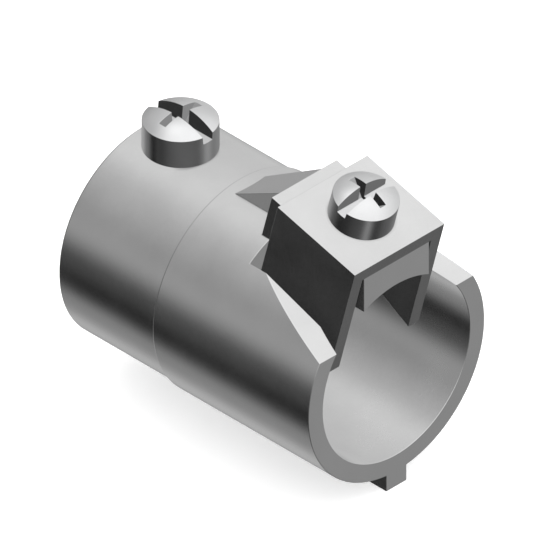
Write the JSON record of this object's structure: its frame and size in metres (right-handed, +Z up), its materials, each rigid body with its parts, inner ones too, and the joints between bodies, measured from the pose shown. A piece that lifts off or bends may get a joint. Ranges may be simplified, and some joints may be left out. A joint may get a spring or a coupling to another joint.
{
  "type": "conduit adapter",
  "caption": "Cast straight coupling from a set-screw socket for rigid conduit to a socket for flexible metal conduit, which a U-shaped saddle grips under a leaning screw.",
  "frame": {"origin": "on the conduits' axis, at the face of the inner stop that the rigid conduit bottoms on", "axes": "+X along the axis towards the flexible conduit's end, +Z up through both screws, +Y to the left of +X"},
  "size_m": [0.0418, 0.0286, 0.0397],
  "materials": {
    "casting": "bare die-cast zinc alloy, satin light grey",
    "screws": "bright zinc plating on steel, smooth and fairly glossy"
  },
  "bodies": {
    "coupling": {"coupling_body": "casting"},
    "saddle": {"saddle": "casting"},
    "saddle_screw": {"saddle_screw": "screws"},
    "set_screw": {"set_screw": "screws"}
  },
  "joints": [
    {"name": "saddle_lift", "type": "slide", "parent": "coupling", "child": "saddle", "axis": [0.2588, 0, 0.9659], "range_m": [0, 0.0095]},
    {"name": "saddle_screw_turn", "type": "hinge", "parent": "saddle", "child": "saddle_screw", "pos_m": [0.01858, 0, 0.01705], "axis": [0.2588, 0, 0.9659], "range_deg": [0, 3232]},
    {"name": "set_screw_travel", "type": "slide", "parent": "coupling", "child": "set_screw", "axis": [0, 0, 1], "range_m": [0, 0.0046]}
  ],
  "couplings": [
    {"joint": "saddle_screw_turn", "follows": "saddle_lift", "rad_per_m": 5936.9}
  ]
}
